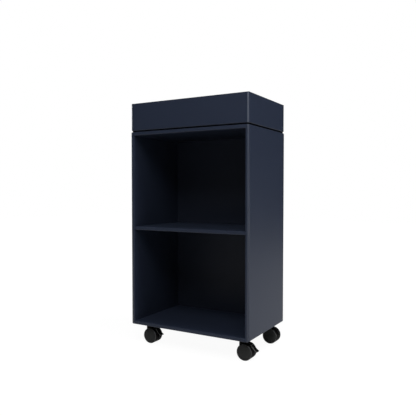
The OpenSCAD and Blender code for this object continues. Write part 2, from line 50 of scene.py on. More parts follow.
# The studio's floor: its own shade, and the strength of the white that the camera sees. Near the unit the
# camera sees a little of the floor's own shade too, and with it the shadow.
FLOOR_SIZE = 14
FLOOR_SHADE = 0.82
FLOOR_WHITE = 1.04
SHADOW_NEAR = 0.5
SHADOW_FAR = 1.6
NEAR_WHITE = 0.91
AMBIENT = 0.05

# The ring of dark cards
CARD_RADIUS = 3.2
CARD_HEIGHT = 4.5
CARD_FOOT = 0.02
CARD_SIDES = 48

# Each lamp has a place, a size and a power, and points at the middle of the unit. The gleams give no
# diffuse light: they show in gloss only.
AIM = (0, 0, 0.45)
LAMPS = {
    "high_front": ((0.6, -1.0, 1.7), (0.8, 0.8), 10),
    "high_far": ((0.6, -2.4, 3.0), (1.4, 1.4), 53),
    "high_right": ((1.5, -0.1, 2.9), (1.4, 1.4), 47),
    "low_right": ((2.4, 0.3, 0.25), (1.6, 0.6), 28),
    "back_left": ((-1.6, 2.3, 1.6), (1.6, 1.6), 15),
    "left_side": ((-2.4, 0.5, 1.3), (1.4, 1.4), 22),
}
GLEAMS = {
    "gleam_right": ((1.60, -2.35, 1.3), (1.4, 2.2), 32),
    "gleam_left": ((-2.4, 0.3, 1.3), (1.2, 2.0), 33),
}
GLEAM_TINT = (0.78, 0.87, 1.0)

# Colours
WHITE = (1.0, 1.0, 1.0)
BLACK = (0.0, 0.0, 0.0)
NAVY = (0.0150, 0.0203, 0.0362)
# The back board's navy is painted darker than NAVY, as painted shade
BACK_NAVY_PAINTED_SHADE = (0.0118, 0.0153, 0.0262)
DUST = (0.07, 0.075, 0.09)
GAP_BLACK = (0.0020, 0.0024, 0.0032)
HOOD_BLACK = (0.0040, 0.0040, 0.0045)
PEDAL_BLACK = (0.0040, 0.0040, 0.0042)
# Pale grey painted along the pedals' side walls as a painted highlight
PEDAL_HIGHLIGHT_GREY = (0.0800, 0.0800, 0.0790)
DISC_BLACK = (0.0275, 0.0281, 0.0279)
TREAD_BLACK = (0.0026, 0.0026, 0.0028)
TREAD_SCUFF = (0.010, 0.0098, 0.0095)
LINER_DARK = (0.017, 0.018, 0.021)
LINER_PALE = (0.023, 0.024, 0.028)
CAP_DARK = (0.010, 0.011, 0.014)
CAP_PALE = (0.014, 0.015, 0.019)
ZINC = (0.60, 0.61, 0.62)
BIRCH = (0.50, 0.36, 0.21)

# The roughness of each finish, before what varies it
LACQUER_ROUGH = 0.43
GAP_ROUGH = 0.60
BIRCH_ROUGH = 0.62
ZINC_ROUGH = 0.24
HOOD_ROUGH = 0.40
PEDAL_ROUGH = 0.50
WHEEL_ROUGH = 0.42
LINER_ROUGH = 0.50
CAP_ROUGH = 0.42
COAT_ROUGH = 0.30

# How much the finishes mirror: one that is nearly matte has a low index
LACQUER_INDEX = 1.24
LINER_INDEX = 1.3
CASTER_INDEX = 1.12
DULL_INDEX = 1.05

# The lacquer's dull specks, one to a cell, and the cells of the liner's pebbled face
SPECKS_PER_METRE = 220.0
SPECK_SHARE = 0.08
SPECK_STRENGTH = 0.5
SPECK_PALENESS = 0.12
PEBBLES_PER_METRE = 900.0

# The cabinet and the box on top of it
CABINET_WIDTH = 0.468
CABINET_DEPTH = 0.300
CABINET_HEIGHT = 0.696
CASTER_HEIGHT = 0.070
BOARD = 0.012
SHELF_RISE = 0.344
SHELF_SETBACK = 0.0035
SHADOW_GAP = 0.005
BOX_INSET = 0.001
BROKEN_EDGE = 0.0008
SIDE_FACE = CABINET_WIDTH / 2
FRONT_FACE = CABINET_DEPTH / 2
CABINET_TOP = CASTER_HEIGHT + CABINET_HEIGHT

# How far a mask on the lacquer stands off the faces that bound it
SLACK = 0.0005
HAIR = 0.0001

# The upright corners: how far round them the lacquer catches the light, in what share of that it comes up,
# how much of it the cabinet's corners show next to the box's, and how far a face may slope to count
CORNER_REACH = 0.0065
CORNER_START = 0.15
CORNER_COAT = 0.52
UPRIGHT_SLOPE = 0.5

# The boards' lower edges: their heights, and whether they lie between the side boards. The light on an edge
# fades over EDGE_REACH.
LOWER_EDGES = (
    (CASTER_HEIGHT, False),
    (CASTER_HEIGHT + SHELF_RISE, True),
    (CABINET_TOP - BOARD, True),
    (CABINET_TOP + SHADOW_GAP, False),
)
BETWEEN_HALF = SIDE_FACE - BOARD - HAIR
BETWEEN_FRONT = FRONT_FACE - SHELF_SETBACK - SLACK
EDGE_REACH = 0.0025
EDGE_LEAN = 1.2
EDGE_COAT = 0.35

# Painted shade inside the cabinet: its lacquer is painted darker from a little way behind the open front
INSIDE_PAINTED_SHADE = 0.80
INSIDE_FADE = 0.025
INSIDE_HALF = SIDE_FACE - BOARD + SLACK
INSIDE_LOW = CASTER_HEIGHT + BOARD - SLACK
INSIDE_HIGH = CABINET_TOP - BOARD + SLACK
INSIDE_START = BROKEN_EDGE - FRONT_FACE
INSIDE_FULL = INSIDE_FADE - FRONT_FACE

# The casters: where each one swivels, and how far to the right of that its wheels turn at rest
CASTER_INSET = 0.044
CASTERS = {
    f"{end}_{side}": (across * (SIDE_FACE - CASTER_INSET), along * (FRONT_FACE - CASTER_INSET))
    for end, along in (("front", -1), ("rear", 1))
    for side, across in (("left", -1), ("right", 1))
}
BRAKED = ("front_left", "front_right")
TRAIL = 0.017

# The brake pedals, and how far in from a pedal's side its dull pad ends and the painted highlight in pale
# grey on its wall starts
PEDAL_WIDTH = 0.019
PEDAL_PAD_END = 0.0018
PEDAL_HIGHLIGHT_START = 0.0012

# How far the edges of the moulded hoods and pedals are eased, and in how many steps
HOOD_EASING = 0.0004
PEDAL_EASING = 0.0003
EASING_STEPS = 2

# A wheel, whose section turns SHOULDER_STEP degrees at each point of its shoulder
WHEEL_RADIUS = 0.0275
WHEEL_GAP = 0.009
WHEEL_WIDTH = 0.016
WHEEL_SHOULDER = 0.0026
WHEEL_BEVEL = 0.0009
WHEEL_HUB = 0.0065
WHEEL_HUB_PROUD = 0.0007
WHEEL_BORE = 0.00305
WHEEL_BORE_DEPTH = 0.0134
WHEEL_RIM = 0.0034
WHEEL_DISC = 0.0026
WHEEL_FACETS = 96
SHOULDER_STEP = 9

# The groove round a wheel's disc, as points in from the shoulder and down into the disc
WHEEL_GROOVE = ((0.0001, 0.0), (0.00025, 0.00035), (0.0007, 0.00035), (0.0008, 0.0))

# A wheel's ribs: RIB_SINK is how far they run into the rim, the hub and the disc
WHEEL_RIBS = 6
RIB_THICK = 0.0016
RIB_IN = 0.0015
RIB_SINK = 0.0005
RIB_SIZE = (
    WHEEL_RADIUS - WHEEL_RIM - WHEEL_HUB + 2 * RIB_SINK,
    RIB_THICK,
    WHEEL_WIDTH - WHEEL_DISC - RIB_IN + RIB_SINK,
)
RIB_PLACE = ((WHEEL_RADIUS - WHEEL_RIM + WHEEL_HUB) / 2, 0.0, RIB_IN + RIB_SIZE[2] / 2)

# Where a wheel's finish changes, as distances in from the tread
TREAD_START = 0.0016
TREAD_FULL = 0.0004
GLINT_FULL = 0.0014
GLINT_FADE = 0.0006
GLINT_END = 0.0002
GLINT_COAT = 0.9
RING_PITCH = 0.0009

# The casters' plates: how thick they are, and how far apart their screws are
PLATE = 0.0025
PLATE_HOLES = 0.030

# A plate screw, beside the sizes that its tree takes: where its shank and thread start, in what share of the
# shank its point and its thread run, by how much its head and its point narrow, and its numbers of steps
SHANK_SINK = 0.0002
THREAD_START = 0.0015
POINT_SHARE = 0.2
THREAD_SHARE = 0.78
HEAD_ROUNDING = 0.30
POINT_TAPER = 0.8
HEAD_STEPS = 8
SHANK_STEPS = 12
THREAD_STEPS = 18
THREAD_SIDES = 3

# A ring of points this small counts as one point on the axle
TINY = 0.00001

# How close points are when they are merged, and how far faces turn where they count as one, creased or sharp
SHELL_WELD = 0.000001
COPY_WELD = 0.000002
FLAT_TURN = math.radians(0.5)
CREASE_TURN = math.radians(25)
SHARP_TURN = math.radians(30)


class Socket:
    """A value in a tree of nodes: arithmetic on it adds Math nodes."""

    def __init__(self, wiring, out):
        self.wiring = wiring
        self.out = out

    def math(self, operation, *others):
        return self.wiring.add("ShaderNodeMath", {"operation": operation}, self, *others)

    def vector_math(self, operation, *others, out=None):
        return self.wiring.add("ShaderNodeVectorMath", {"operation": operation}, self, *others, out=out)

    def __add__(self, other):
        return self.math("ADD", other)

    def __sub__(self, other):
        return self.math("SUBTRACT", other)

    def __rsub__(self, other):
        return self.wiring.add("ShaderNodeMath", {"operation": "SUBTRACT"}, other, self)

    def __mul__(self, other):
        return self.math("MULTIPLY", other)

    def __truediv__(self, other):
        return self.math("DIVIDE", other)

    def __lt__(self, other):
        return self.math("LESS_THAN", other)

    def __gt__(self, other):
        return self.math("GREATER_THAN", other)

    def __abs__(self):
        return self.math("ABSOLUTE")

    __radd__ = __add__
    __rmul__ = __mul__

    def clamped(self):
        """Held between 0 and 1."""
        return self.wiring.add("ShaderNodeClamp", {}, self, 0.0, 1.0)

    def ramp(self, start, end, low=0.0, high=1.0):
        """From low to high as the value goes from start to end."""
        return self.wiring.add("ShaderNodeMapRange", {"clamp": True}, self, start, end, low, high)

    def axes(self):
        """A vector's three values."""
        x = self.wiring.add("ShaderNodeSeparateXYZ", {}, self, out="X")
        return x, x.part("Y"), x.part("Z")

    def part(self, name):
        """Another output of the same node."""
        return Socket(self.wiring, self.out.node.outputs[name])


class Wiring:
    """A tree of nodes, built node by node."""

    def __init__(self, tree):
        self.tree = tree
        tree.nodes.clear()

    def add(self, kind, settings, *numbered, out=None, **named):
        """Adds a node: its settings first, then its inputs by number or by name. A list feeds one input."""
        node = self.tree.nodes.new(kind)
        for key, value in settings.items():
            setattr(node, key, value)
        live = [socket for socket in node.inputs if socket.enabled]
        pairs = list(zip(live, numbered))
        for key, value in named.items():
            wanted = key.replace("_", " ")
            pairs.append((next(socket for socket in live if socket.name == wanted), value))
        for socket, value in pairs:
            values = value if isinstance(value, list) else [value]
            for one in values:
                if isinstance(one, Socket):
                    self.tree.links.new(one.out, socket)
                else:
                    socket.default_value = one
        if out:
            return Socket(self, node.outputs[out])
        return Socket(self, next((socket for socket in node.outputs if socket.enabled), None))

    def vector(self, x, y, z):
        return self.add("ShaderNodeCombineXYZ", {}, x, y, z)


class Finish(Wiring):
    """A material."""

    def __init__(self, name):
        self.material = bpy.data.materials.new(name)
        self.material.use_nodes = True
        super().__init__(self.material.node_tree)

    def place(self, centre=(0, 0, 0), stretch=(1, 1, 1)):
        """Object coordinates, moved so that centre is their zero, then stretched."""
        here = self.add("ShaderNodeTexCoord", {}, out="Object")
        return here.vector_math("SUBTRACT", centre).vector_math("MULTIPLY", stretch)

    def noise(self, spot, size, detail=2.0, roughness=0.5):
        """Noise from 0 to 1 whose blotches are about size metres across."""
        return self.add("ShaderNodeTexNoise", {"noise_dimensions": "3D"}, Vector=spot, Scale=1 / size,
                        Detail=detail, Roughness=roughness)

    def cells(self, spot, kind, per_metre):
        """The distance to the middle of the nearest cell."""
        return self.add("ShaderNodeTexVoronoi", {"feature": kind}, Vector=spot, Scale=per_metre,
                        out="Distance")

    def wave(self, value, pitch):
        """A wave from 0 to 1 that repeats each pitch metres of value."""
        return (value * (math.tau / pitch)).math("SINE") * 0.5 + 0.5

    def blend(self, amount, one, two):
        """A colour between two."""
        return self.add("ShaderNodeMix", {"data_type": "RGBA"}, Factor=amount, A=solid(one), B=solid(two))

    def vary(self, amount, colour, low, high):
        """A colour that goes from low to high times its tone."""
        return self.blend(amount, scaled(colour, low), scaled(colour, high))

    def bump(self, height, depth, strength, **under):
        """A normal that follows height, which is depth metres from 0 to 1."""
        return self.add("ShaderNodeBump", {}, Height=height, Distance=depth, Strength=strength, **under)

    def surface(self, **inputs):
        """Ends the tree with its shader."""
        shader = self.add("ShaderNodeBsdfPrincipled", {}, **inputs)
        self.add("ShaderNodeOutputMaterial", {}, Surface=shader)
        return self.material


class Maker(Wiring):
    """A Geometry Nodes tree that makes a piece, with named inputs for its sizes."""

    KINDS = {int: "NodeSocketInt", float: "NodeSocketFloat", tuple: "NodeSocketVector"}

    def __init__(self, name, **sizes):
        super().__init__(bpy.data.node_groups.new(name, "GeometryNodeTree"))
        self.add_socket("Geometry", "NodeSocketGeometry")
        self.add_socket("Material", "NodeSocketMaterial")
        for size, value in sizes.items():
            self.add_socket(size.replace("_", " "), self.KINDS[type(value)]).default_value = value
        self.add_socket("Geometry", "NodeSocketGeometry", "OUTPUT")
        self.given = self.tree.nodes.new("NodeGroupInput")

    def add_socket(self, name, kind, way="INPUT"):
        return self.tree.interface.new_socket(name, in_out=way, socket_type=kind)

    def size(self, name):
        """An input of the tree."""
        return Socket(self, self.given.outputs[name.replace("_", " ")])

    def ring(self, facets, radius):
        """A circle of straight edges."""
        return self.add("GeometryNodeCurvePrimitiveCircle", {"mode": "RADIUS"}, Resolution=facets,
                        Radius=radius)

    def close(self, geometry):
        """Ends the tree: real geometry, shaded smooth up to a sharp angle, in its material."""
        real = self.add("GeometryNodeRealizeInstances", {}, geometry)
        soft = self.add("GeometryNodeSetShadeSmooth", {}, real, Shade_Smooth=True)
        turn = self.add("GeometryNodeInputMeshEdgeAngle", {}, out="Unsigned Angle")
        creased = self.add("GeometryNodeSetShadeSmooth", {"domain": "EDGE"}, soft,
                           Selection=turn > SHARP_TURN, Shade_Smooth=False)
        dressed = self.add("GeometryNodeSetMaterial", {}, creased, Material=self.size("Material"))
        self.add("NodeGroupOutput", {}, dressed)

    def make(self, name, start, material, **sizes):
        """Runs the tree on a start mesh and keeps the result as a plain mesh."""
        worker = in_scene(name + "_worker", start)
        run = worker.modifiers.new(self.tree.name, "NODES")
        run.node_group = self.tree
        wanted = {key.replace("_", " "): value for key, value in sizes.items()} | {"Material": material}
        for socket in self.tree.interface.items_tree:
            if socket.in_out == "INPUT" and socket.name in wanted:
                run[socket.identifier] = wanted[socket.name]
        depsgraph = bpy.context.evaluated_depsgraph_get()
        mesh = bpy.data.meshes.new_from_object(worker.evaluated_get(depsgraph))
        mesh.name = name
        bpy.data.objects.remove(worker)
        return in_scene(name, mesh)


def solid(colour):
    """Four channels for a colour of three; a socket stays as it is."""
    return colour if isinstance(colour, Socket) else (*colour, 1.0)


def scaled(colour, factor):
    return tuple(channel * factor for channel in colour)


def in_scene(name, data):
    """A new object in the scene."""
    thing = bpy.data.objects.new(name, data)
    bpy.context.scene.collection.objects.link(thing)
    return thing


def mesh_piece(name, shape, material):
    """An object from a bmesh, in one material."""
    mesh = bpy.data.meshes.new(name)
    shape.to_mesh(mesh)
    shape.free()
    mesh.materials.append(material)
    return in_scene(name, mesh)


def navy_lacquer(name, base):
    """Sprayed matte lacquer: a faint cloud in its tone, fine orange peel and a dust of dull specks, with
    painted shade inside the cabinet.
    """
    finish = Finish(name)
    spot = finish.place()
    cloud = finish.noise(spot, size=0.24, detail=3.0)
    fine = finish.noise(spot, size=0.004)
    peel = finish.noise(spot, size=0.0016, detail=3.0, roughness=0.55)
    dust = (finish.cells(spot, "F1", SPECKS_PER_METRE) < SPECK_SHARE) * SPECK_STRENGTH
    tone = (cloud * 0.7 + fine * 0.3).clamped()
    axes = spot.axes()
    outer = finish.vary(tone, base, low=0.90, high=1.10)
    # The inner colour is painted shade: the lacquer inside the cabinet is painted darker
    inner = finish.vary(tone, scaled(base, INSIDE_PAINTED_SHADE), low=0.90, high=1.10)
    colour = finish.blend(painted_inside_shade(axes), outer, inner)
    colour = finish.blend(dust * SPECK_PALENESS, colour, DUST)
    rough = LACQUER_ROUGH + fine * 0.03 + cloud * 0.03 + dust * 0.08
    gleam, turned = upright_corners(finish, axes)
    down, up = board_edges(axes)
    leaning = finish.vector(0.0, 0.0, (up - down) * EDGE_LEAN)
    leaning = turned.vector_math("ADD", leaning).vector_math("NORMALIZE")
    normal = finish.bump(peel, depth=0.00003, strength=0.35, Normal=leaning)
    return finish.surface(Base_Color=colour, Roughness=rough, IOR=LACQUER_INDEX, Normal=normal,
                          Coat_Weight=gleam.math("MAXIMUM", down * EDGE_COAT), Coat_Roughness=COAT_ROUGH,
                          Coat_Normal=normal)


def painted_inside_shade(axes):
    """How much painted shade a place inside the cabinet gets, from 0 at its open front to 1."""
    across, deep, height = axes
    walls = (abs(across) < INSIDE_HALF) * (height > INSIDE_LOW) * (height < INSIDE_HIGH)
    return walls * deep.ramp(INSIDE_START, INSIDE_FULL)


def upright_corners(finish, axes):
    """How much the outer upright corners gleam, and normals that turn round them."""
    raised = axes[2] > CABINET_TOP
    sides = []
    for at, face in zip(axes, (SIDE_FACE, FRONT_FACE)):
        sides.append((abs(at) - (face - CORNER_REACH) + raised * BOX_INSET, at.math("SIGN")))
    (across, right), (deep, back) = sides
    flat = finish.add("ShaderNodeNewGeometry", {}, out="Normal")
    slope = flat.part("True Normal").axes()[2]
    fade = (deep / CORNER_REACH).clamped()
    start = (across / (CORNER_REACH * CORNER_START)).clamped()
    corner = (across > 0.0) * (deep > 0.0) * (abs(slope) < UPRIGHT_SLOPE)
    turned = finish.vector(across * right, deep * back, 0.0).vector_math("NORMALIZE")
    turned = finish.add("ShaderNodeMix", {"data_type": "VECTOR"}, Factor=corner, A=flat, B=turned)
    return corner * start * fade * fade * (CORNER_COAT + raised * (1 - CORNER_COAT)), turned


def board_edges(axes):
    """How far the boards' lower edges lean down and the top board's upper edge leans up, from 0 to 1."""
    across, deep, height = axes
    between = (abs(across) < BETWEEN_HALF) * (abs(deep) > BETWEEN_FRONT)
    down = 0.0
    for level, inner in LOWER_EDGES:
        band = (1 - (height - level) / EDGE_REACH).clamped() * (height > level)
        down = band * (between if inner else 1.0) + down
    up = (1 - (CABINET_TOP - height) / EDGE_REACH).clamped() * (height < CABINET_TOP)
    return down, up


def gap_black():
    """The spacer in the shadow gap, dull black."""
    finish = Finish("gap_black")
    spot = finish.place()
    cloud = finish.noise(spot, size=0.03)
    colour = finish.vary(cloud, GAP_BLACK, low=0.8, high=1.2)
    normal = finish.bump(finish.noise(spot, size=0.001, detail=3.0), depth=0.00003, strength=0.4)
    rough = GAP_ROUGH + cloud * 0.06
    return finish.surface(Base_Color=colour, Roughness=rough, IOR=DULL_INDEX, Normal=normal)


def birch_plywood():
    """Bare birch for the hidden feathers, with its grain along the strip."""
    finish = Finish("birch_plywood")
    spot = finish.place(stretch=(1, 0.06, 0.06))
    grain = finish.noise(spot, size=0.0012, detail=4.0, roughness=0.6)
    colour = finish.vary(grain, BIRCH, low=0.7, high=1.15)
    normal = finish.bump(grain, depth=0.00008, strength=0.5)
    return finish.surface(Base_Color=colour, Roughness=BIRCH_ROUGH + grain * 0.1, Normal=normal)


def zinc_steel():
    """Zinc plate: bright, a little cloudy, with fine drawing lines."""
    finish = Finish("zinc_steel")
    cloud = finish.noise(finish.place(), size=0.008, detail=3.0)
    lines = finish.noise(finish.place(stretch=(1, 14, 14)), size=0.006)
    colour = finish.vary(cloud, ZINC, low=0.82, high=1.08)
    rough = ZINC_ROUGH + cloud * 0.12 + lines * 0.08
    normal = finish.bump(lines, depth=0.00001, strength=0.4)
    return finish.surface(Base_Color=colour, Metallic=1.0, Roughness=rough, Normal=normal)


def hood_nylon():
    """Moulded black nylon with a spark-eroded grain."""
    finish = Finish("hood_nylon")
    spot = finish.place()
    grain = finish.noise(spot, size=0.0005)
    cloud = finish.noise(spot, size=0.012)
    colour = finish.vary(cloud, HOOD_BLACK, low=0.8, high=1.25)
    normal = finish.bump(grain, depth=0.00002, strength=0.5)
    rough = HOOD_ROUGH + cloud * 0.06
    return finish.surface(Base_Color=colour, Roughness=rough, IOR=CASTER_INDEX, Normal=normal)


def pedal_nylon():
    """The pedals: black nylon with a painted highlight in pale grey along the smooth side walls, and a dull
    black pad between them.
    """
    finish = Finish("pedal_nylon")
    spot = finish.place((0.0, CASTERS[BRAKED[0]][1], 0.0))
    half = PEDAL_WIDTH / 2
    wall = abs(spot.axes()[1]).ramp(half - PEDAL_PAD_END, half - PEDAL_HIGHLIGHT_START)
    grain = finish.noise(spot, size=0.0007)
    cloud = finish.noise(spot, size=0.010)
    colour = finish.vary(cloud, PEDAL_BLACK, low=0.8, high=1.25)
    # Painted highlight: the side walls are painted pale grey
    colour = finish.blend(wall * (0.85 + cloud * 0.15), colour, PEDAL_HIGHLIGHT_GREY)
    normal = finish.bump(grain, depth=0.00001, strength=0.4)
    rough = PEDAL_ROUGH - wall * 0.12 + cloud * 0.06
    return finish.surface(Base_Color=colour, Roughness=rough, IOR=CASTER_INDEX, Normal=normal)


def wheel_nylon(corner):
    """A wheel's nylon: turned rings on the disc, a glint on the shoulder, a scuffed satin tread."""
    finish = Finish("wheel_nylon_" + corner)
    x, y = CASTERS[corner]
    centre = (x + TRAIL, y, WHEEL_RADIUS)
    spot = finish.place(centre)
    out = spot.vector_math("MULTIPLY", (1, 0, 1)).vector_math("LENGTH", out="Value")
    tread = out.ramp(WHEEL_RADIUS - TREAD_START, WHEEL_RADIUS - TREAD_FULL)
    cloud = finish.noise(spot, size=0.010, detail=3.0)
    scuff = finish.noise(finish.place(centre, stretch=(1, 9, 1)), size=0.0012, detail=3.0)
    colour = finish.vary(cloud, DISC_BLACK, low=0.9, high=1.1)
    colour = finish.blend(tread, colour, TREAD_BLACK)
    colour = finish.blend(tread * scuff * 0.5, colour, TREAD_SCUFF)
    rings = finish.wave(out, RING_PITCH)
    rough = WHEEL_ROUGH + cloud * 0.05 - tread * 0.10 + tread * scuff * 0.16
    glint = out.ramp(WHEEL_RADIUS - WHEEL_SHOULDER, WHEEL_RADIUS - GLINT_FULL)
    glint *= out.ramp(WHEEL_RADIUS - GLINT_FADE, WHEEL_RADIUS - GLINT_END, low=1.0, high=0.0)
    grain = finish.noise(spot, size=0.0006)
    normal = finish.bump(grain * 0.5 + rings * (1 - tread) * 0.5, depth=0.000015, strength=0.6)
    return finish.surface(Base_Color=colour, Roughness=rough, IOR=DULL_INDEX, Normal=normal,
                          Coat_Weight=glint * GLINT_COAT, Coat_Roughness=COAT_ROUGH)


def liner_plastic():
    """The liner's polypropylene, pebbled inside and out."""
    finish = Finish("liner_plastic")
    spot = finish.place()
    pebble = finish.cells(spot, "SMOOTH_F1", PEBBLES_PER_METRE)
    cloud = finish.noise(spot, size=0.05)
    colour = finish.blend(cloud, LINER_DARK, LINER_PALE)
    normal = finish.bump(pebble, depth=0.00008, strength=0.5)
    rough = LINER_ROUGH + cloud * 0.06
    return finish.surface(Base_Color=colour, Roughness=rough, IOR=LINER_INDEX, Normal=normal)


def cap_plastic():
    """The screw caps' satin plastic."""
    finish = Finish("cap_plastic")
    grain = finish.noise(finish.place(), size=0.0008)
    colour = finish.blend(grain, CAP_DARK, CAP_PALE)
    normal = finish.bump(grain, depth=0.00002, strength=0.4)
    return finish.surface(Base_Color=colour, Roughness=CAP_ROUGH + grain * 0.05, Normal=normal)


def wheel_maker():
    """A wheel: its section swept round the axle, with ribs spread evenly inside it."""
    maker = Maker("caster_wheel", Bore=WHEEL_BORE, Facets=WHEEL_FACETS, Ribs=WHEEL_RIBS, Rib_size=RIB_SIZE,
                  Rib_place=RIB_PLACE, Turn=(0.0, 0.0, 0.0), Place=(0.0, 0.0, 0.0))
    path = maker.ring(maker.size("Facets"), maker.size("Bore"))
    section = maker.add("GeometryNodeMeshToCurve", {}, maker.size("Geometry"))
    shell = maker.add("GeometryNodeCurveToMesh", {}, path, section)
    post = maker.add("GeometryNodeMeshCube", {}, maker.size("Rib_size"))
    post = maker.add("GeometryNodeTransform", {}, post, Translation=maker.size("Rib_place"))
    hub = maker.add("GeometryNodeMeshCircle", {}, Vertices=maker.size("Ribs"), Radius=TINY)
    angle = maker.add("GeometryNodeInputIndex", {}) * math.tau / maker.size("Ribs")
    turned = maker.vector(0.0, 0.0, angle)
    ribs = maker.add("GeometryNodeInstanceOnPoints", {}, hub, Instance=post, Rotation=turned)
    shell = maker.add("GeometryNodeMergeByDistance", {}, shell, Distance=SHELL_WELD)
    both = maker.add("GeometryNodeJoinGeometry", {}, [ribs, shell])
    real = maker.add("GeometryNodeRealizeInstances", {}, both)
    maker.close(maker.add("GeometryNodeTransform", {}, real, Translation=maker.size("Place"),
                          Rotation=maker.size("Turn")))
    return maker


def wheel_section():
    """The section of a wheel, as places out from its axle and along it from its open side."""
    rim, well = WHEEL_RADIUS - WHEEL_RIM, WHEEL_WIDTH - WHEEL_DISC
    arc_out, arc_along = WHEEL_RADIUS - WHEEL_SHOULDER, WHEEL_WIDTH - WHEEL_SHOULDER
    turns = [math.radians(angle) for angle in range(0, 90 + 1, SHOULDER_STEP)]
    shoulder = [(arc_out + WHEEL_SHOULDER * math.cos(turn), arc_along + WHEEL_SHOULDER * math.sin(turn))
                for turn in turns]
    groove = [(arc_out - inward, WHEEL_WIDTH - deep) for inward, deep in WHEEL_GROOVE]
    points = [
        (WHEEL_BORE, -WHEEL_HUB_PROUD), (WHEEL_HUB, -WHEEL_HUB_PROUD), (WHEEL_HUB, well), (rim, well),
        (rim, 0), (WHEEL_RADIUS - WHEEL_BEVEL, 0), (WHEEL_RADIUS, WHEEL_BEVEL), *shoulder, *groove,
        (0.0, WHEEL_WIDTH), (0.0, WHEEL_BORE_DEPTH), (WHEEL_BORE, WHEEL_BORE_DEPTH),
    ]
    # In this order the faces swept from it point outwards
    return closed_wire("wheel_section", [(out - WHEEL_BORE, -along, 0) for out, along in reversed(points)])


def closed_wire(name, points):
    """A closed loop of edges."""
    mesh = bpy.data.meshes.new(name)
    count = len(points)
    mesh.from_pydata(points, [(i, (i + 1) % count) for i in range(count)], [])
    return mesh


def make_wheels(materials):
    """Two wheels for each caster, each with its open side to the middle."""
    maker = wheel_maker()
    section = wheel_section()
    for corner, (x, y) in CASTERS.items():
        for end, side in ((-1, "front"), (1, "back")):
            wheel = maker.make(f"{corner}_{side}_wheel_moulding", section, materials[corner],
                               Turn=(-end * math.pi / 2, 0.0, 0.0),
                               Place=(x + TRAIL, y + end * WHEEL_GAP / 2, WHEEL_RADIUS))
            stand_for(wheel, f"{corner}_{side}_wheel", "wheel_plastic", f"{corner}_wheel_{side}")


def screw_maker():
    """Cross-head screws, one at each point, each turned by chance."""
    maker = Maker("cross_head_screws", Head=0.0036, Head_height=0.0022, Recess=0.0010, Recess_depth=0.0013,
                  Shank=0.0015, Length=0.0112, Thread=0.00045, Pitch=0.0014, Facets=32, Seed=4)
    ring = maker.ring(maker.size("Facets"), 1.0)
    along = maker.add("GeometryNodeSplineParameter", {}, out="Factor")
    head = screw_head(maker, ring, along)
    shank = screw_shank(maker, ring, along)
    screw = maker.add("GeometryNodeJoinGeometry", {}, [screw_thread(maker), shank, head])
    chance = maker.add("FunctionNodeRandomValue", {"data_type": "FLOAT"}, Min=0.0, Max=math.pi,
                       Seed=maker.size("Seed"))
    maker.close(maker.add("GeometryNodeInstanceOnPoints", {}, maker.size("Geometry"), Instance=screw,
                          Rotation=maker.vector(0.0, 0.0, chance)))
    return maker


def screw_head(maker, ring, along):
    """A domed head below the plate, with a cross cut into it."""
    down = maker.vector(0.0, 0.0, maker.size("Head_height") * -1)
    stem = maker.add("GeometryNodeCurvePrimitiveLine", {}, End=down)
    stem = maker.add("GeometryNodeResampleCurve", {}, stem, Count=HEAD_STEPS)
    bulge = 1 - along.math("POWER", 3.0) * HEAD_ROUNDING
    head = maker.add("GeometryNodeCurveToMesh", {}, stem, ring, Scale=bulge * maker.size("Head"),
                     Fill_Caps=True)
    slots = []
    for turn in (0.0, math.pi / 2):
        bar = maker.vector(maker.size("Head"), maker.size("Recess"), maker.size("Recess_depth") * 2)
        bar = maker.add("GeometryNodeMeshCube", {}, bar)
        bar = maker.add("GeometryNodeTransform", {}, bar, Translation=down, Rotation=(0.0, 0.0, turn))
        slots.append(bar)
    return maker.add("GeometryNodeMeshBoolean", {"operation": "DIFFERENCE", "solver": "EXACT"}, head,
                     Mesh_2=slots)


def screw_shank(maker, ring, along):
    """A shank that starts inside the head and ends in a point."""
    up = maker.vector(0.0, 0.0, maker.size("Length"))
    shank = maker.add("GeometryNodeCurvePrimitiveLine", {}, Start=(0.0, 0.0, -SHANK_SINK), End=up)
    shank = maker.add("GeometryNodeResampleCurve", {}, shank, Count=SHANK_STEPS)
    point = 1 - (along - (1 - POINT_SHARE)).clamped() * (1 / POINT_SHARE) * POINT_TAPER
    return maker.add("GeometryNodeCurveToMesh", {}, shank, ring, Scale=point * maker.size("Shank"),
                     Fill_Caps=True)


def screw_thread(maker):
    """A ridge that winds up the shank."""
    wind = maker.size("Length") * THREAD_SHARE
    radius = maker.size("Shank")
    coil = maker.add("GeometryNodeCurveSpiral", {}, Resolution=THREAD_STEPS,
                     Rotations=wind / maker.size("Pitch"), Start_Radius=radius, End_Radius=radius,
                     Height=wind)
    ridge = maker.ring(THREAD_SIDES, maker.size("Thread"))
    thread = maker.add("GeometryNodeCurveToMesh", {}, coil, ridge, Fill_Caps=True)
    return maker.add("GeometryNodeTransform", {}, thread, Translation=(0.0, 0.0, THREAD_START))


def make_plate_screws(steel):
    """The screws of all four plates, as one piece."""
    points = bpy.data.meshes.new("plate_screw_points")
    half = PLATE_HOLES / 2
    points.from_pydata([(x + dx, y + dy, CASTER_HEIGHT - PLATE) for x, y in CASTERS.values()
                        for dx in (-half, half) for dy in (-half, half)], [], [])
    screws = screw_maker().make("cross_head_plate_screws", points, steel)
    stand_for(screws, "cabinet", "steel", *(corner + "_plate_screws" for corner in CASTERS))


def stand_for(piece, body, slot, *nodes):
    """Rides a piece on its body in place of its CAD nodes."""
    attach(piece, body)
    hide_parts(*nodes)


